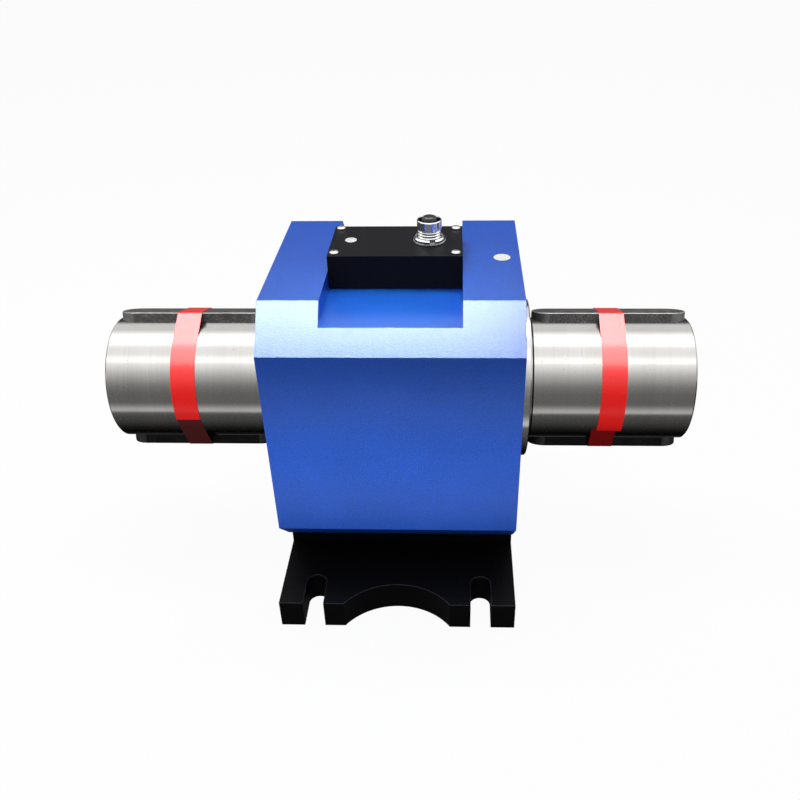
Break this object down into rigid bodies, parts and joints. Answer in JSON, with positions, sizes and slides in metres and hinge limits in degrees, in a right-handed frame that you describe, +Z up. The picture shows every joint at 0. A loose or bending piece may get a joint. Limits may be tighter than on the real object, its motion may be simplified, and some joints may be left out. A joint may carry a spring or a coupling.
{
  "type": "rotary torque sensor",
  "caption": "Rotary torque sensor: a keyed steel shaft turns in an eight-sided blue housing on a slotted foot, with a signal connector on top.",
  "frame": {"origin": "centre of the foot's underside", "axes": "+X along the shaft, towards the end nearer the connector, +Z up, +Y away from the picture's camera"},
  "size_m": [0.47, 0.284, 0.291],
  "materials": {
    "blue_anodised_aluminium": "sandblasted and anodised blue",
    "black_anodised_aluminium": "milled, sandblasted and anodised black",
    "turned_steel": "turned and ground, bare",
    "polished_steel": "turned and polished",
    "oxide_steel": "black oxide",
    "bearing_steel": "ground",
    "screw_steel": "stainless, bare",
    "plated_shell": "bright plating",
    "cage_brass": "machined",
    "coil_copper": "varnished winding",
    "seal_rubber": "moulded",
    "red_tape": "smooth adhesive tape",
    "white_plastic": "moulded",
    "black_plastic": "moulded",
    "board_green": "solder mask",
    "gauge_foil": "foil on a plastic carrier"
  },
  "bodies": {
    "stator": {"adjuster_plug": "white_plastic", "base": "black_anodised_aluminium", "base_screw_1": "screw_steel", "base_screw_2": "screw_steel", "base_screw_3": "screw_steel", "base_screw_4": "screw_steel", "blank_sticker": "white_plastic", "board_screw_1": "screw_steel", "board_screw_2": "screw_steel", "board_screw_3": "screw_steel", "board_screw_4": "screw_steel", "box_screw_1": "screw_steel", "box_screw_2": "screw_steel", "box_screw_3": "screw_steel", "box_screw_4": "screw_steel", "connector_insert": "black_plastic", "connector_nut": "plated_shell", "connector_socket": "plated_shell", "housing": "blue_anodised_aluminium", "junction_box": "black_anodised_aluminium", "left_bearing_cap": "polished_steel", "left_cap_screw_1": "screw_steel", "left_cap_screw_2": "screw_steel", "left_cap_screw_3": "screw_steel", "left_cap_screw_4": "screw_steel", "left_coil_lead": "black_plastic", "left_outer_ring": "bearing_steel", "left_shaft_seal": "seal_rubber", "left_stator_coil": "coil_copper", "right_bearing_cap": "polished_steel", "right_cap_screw_1": "screw_steel", "right_cap_screw_2": "screw_steel", "right_cap_screw_3": "screw_steel", "right_cap_screw_4": "screw_steel", "right_coil_lead": "black_plastic", "right_outer_ring": "bearing_steel", "right_shaft_seal": "seal_rubber", "right_stator_coil": "coil_copper", "signal_board": "board_green"},
    "rotor": {"torsion_shaft": "turned_steel", "rotor_board": "board_green", "gauge_1": "gauge_foil", "gauge_2": "gauge_foil", "gauge_3": "gauge_foil", "gauge_4": "gauge_foil", "left_upper_key": "oxide_steel", "left_lower_key": "oxide_steel", "left_tape": "red_tape", "left_inner_ring": "bearing_steel", "left_retaining_ring": "screw_steel", "left_rotor_coil": "coil_copper", "right_upper_key": "oxide_steel", "right_lower_key": "oxide_steel", "right_tape": "red_tape", "right_inner_ring": "bearing_steel", "right_retaining_ring": "screw_steel", "right_rotor_coil": "coil_copper"},
    "left_cage": {"left_ball_cage": "cage_brass"},
    "right_cage": {"right_ball_cage": "cage_brass"}
  },
  "joints": [
    {"name": "shaft_spin", "type": "hinge", "parent": "stator", "child": "rotor", "pos_m": [0, 0, 0.152], "axis": [1, 0, 0], "continuous": true},
    {"name": "left_cage_spin", "type": "hinge", "parent": "stator", "child": "left_cage", "pos_m": [-0.0723, 0, 0.152], "axis": [1, 0, 0], "continuous": true},
    {"name": "right_cage_spin", "type": "hinge", "parent": "stator", "child": "right_cage", "pos_m": [0.0723, 0, 0.152], "axis": [1, 0, 0], "continuous": true}
  ],
  "couplings": [
    {"joint": "left_cage_spin", "follows": "shaft_spin", "ratio": 0.452},
    {"joint": "right_cage_spin", "follows": "shaft_spin", "ratio": 0.452}
  ]
}
